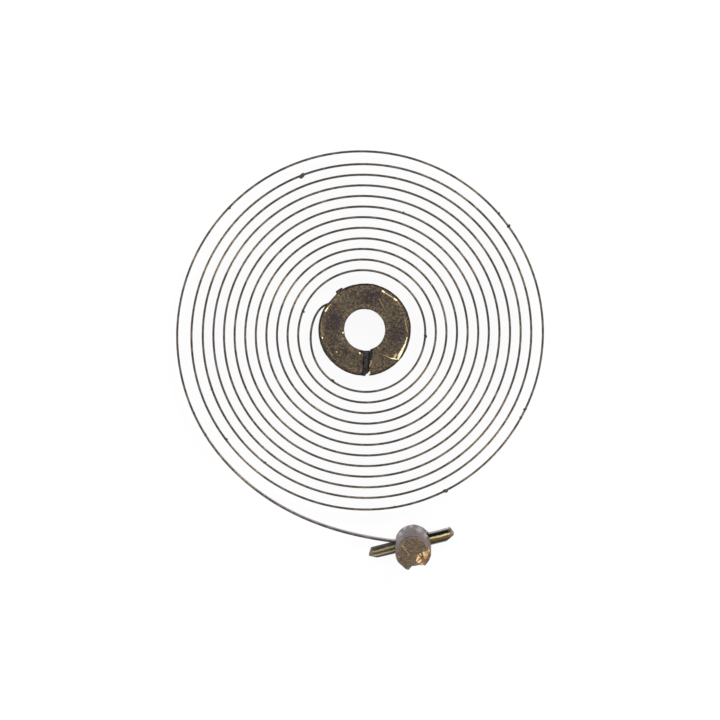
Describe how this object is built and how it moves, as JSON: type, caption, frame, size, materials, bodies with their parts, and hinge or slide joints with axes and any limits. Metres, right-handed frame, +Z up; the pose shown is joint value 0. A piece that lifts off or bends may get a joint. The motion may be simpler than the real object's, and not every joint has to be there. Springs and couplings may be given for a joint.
{
  "type": "watch hairspring",
  "caption": "Flat spiral balance spring for a watch, its inner end pinned in a split round collet and its outer end pinned in a small round stud post.",
  "frame": {"origin": "on the bore axis of the collet, in the plane of the collet's lower face, which is the plane that the part rests on", "axes": "+Z up along the collet's bore, across the flat of the coil; the coil opens counter-clockwise seen from +Z, and the stud is on the -Y side"},
  "size_m": [0.007, 0.008, 0.0013],
  "materials": {
    "spring_steel": "dark grey drawn strip, dulled, with specks of dirt",
    "collet_brass": "turned brass tarnished dark brown, bright on the rim",
    "stud_brass": "tarnished brass with streaks, bright where crushed",
    "pin_brass": "drawn brass wire, semi-bright"
  },
  "bodies": {
    "root": {"hairspring": "spring_steel", "collet": "collet_brass", "collet_pin": "pin_brass", "stud": "stud_brass", "stud_pin": "pin_brass"}
  },
  "joints": []
}
